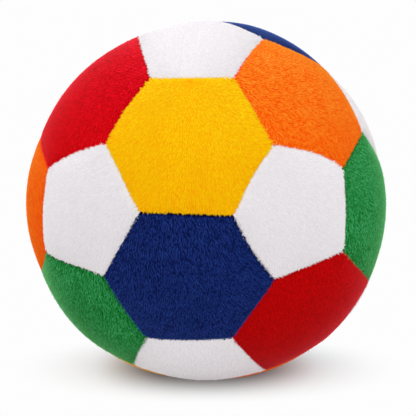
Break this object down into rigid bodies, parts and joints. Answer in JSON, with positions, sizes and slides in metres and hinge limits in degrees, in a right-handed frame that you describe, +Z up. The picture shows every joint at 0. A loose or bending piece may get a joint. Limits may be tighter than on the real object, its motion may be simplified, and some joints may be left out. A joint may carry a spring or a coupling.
{
  "type": "plush ball",
  "caption": "Soft stuffed ball sewn from white pentagons and coloured hexagons of short-pile plush, for throwing, rolling and cuddling.",
  "frame": {"origin": "on the floor, plumb under the centre of the ball as it lies on a corner where two hexagons and a pentagon meet", "axes": "+Z up, +Y away from the side that the picture shows, +X to the right of that view"},
  "size_m": [0.1992, 0.1998, 0.1975],
  "materials": {
    "white_plush": "white short-pile plush, matt with a soft sheen along the pile",
    "red_plush": "red short-pile plush, matt with a soft sheen along the pile",
    "orange_plush": "orange short-pile plush, matt with a soft sheen along the pile",
    "green_plush": "green short-pile plush, matt with a soft sheen along the pile",
    "blue_plush": "blue short-pile plush, matt with a soft sheen along the pile",
    "yellow_plush": "yellow short-pile plush, matt with a soft sheen along the pile",
    "filling": "loose white polyester fibre"
  },
  "bodies": {
    "root": {"white_pentagon_1": "white_plush", "white_pentagon_2": "white_plush", "white_pentagon_3": "white_plush", "white_pentagon_4": "white_plush", "white_pentagon_5": "white_plush", "white_pentagon_6": "white_plush", "white_pentagon_7": "white_plush", "white_pentagon_8": "white_plush", "white_pentagon_9": "white_plush", "white_pentagon_10": "white_plush", "white_pentagon_11": "white_plush", "white_pentagon_12": "white_plush", "red_hexagon_1": "red_plush", "red_hexagon_2": "red_plush", "red_hexagon_3": "red_plush", "red_hexagon_4": "red_plush", "orange_hexagon_1": "orange_plush", "orange_hexagon_2": "orange_plush", "orange_hexagon_3": "orange_plush", "orange_hexagon_4": "orange_plush", "green_hexagon_1": "green_plush", "green_hexagon_2": "green_plush", "green_hexagon_3": "green_plush", "green_hexagon_4": "green_plush", "blue_hexagon_1": "blue_plush", "blue_hexagon_2": "blue_plush", "blue_hexagon_3": "blue_plush", "blue_hexagon_4": "blue_plush", "yellow_hexagon_1": "yellow_plush", "yellow_hexagon_2": "yellow_plush", "yellow_hexagon_3": "yellow_plush", "yellow_hexagon_4": "yellow_plush", "fibre_filling": "filling"}
  },
  "joints": []
}
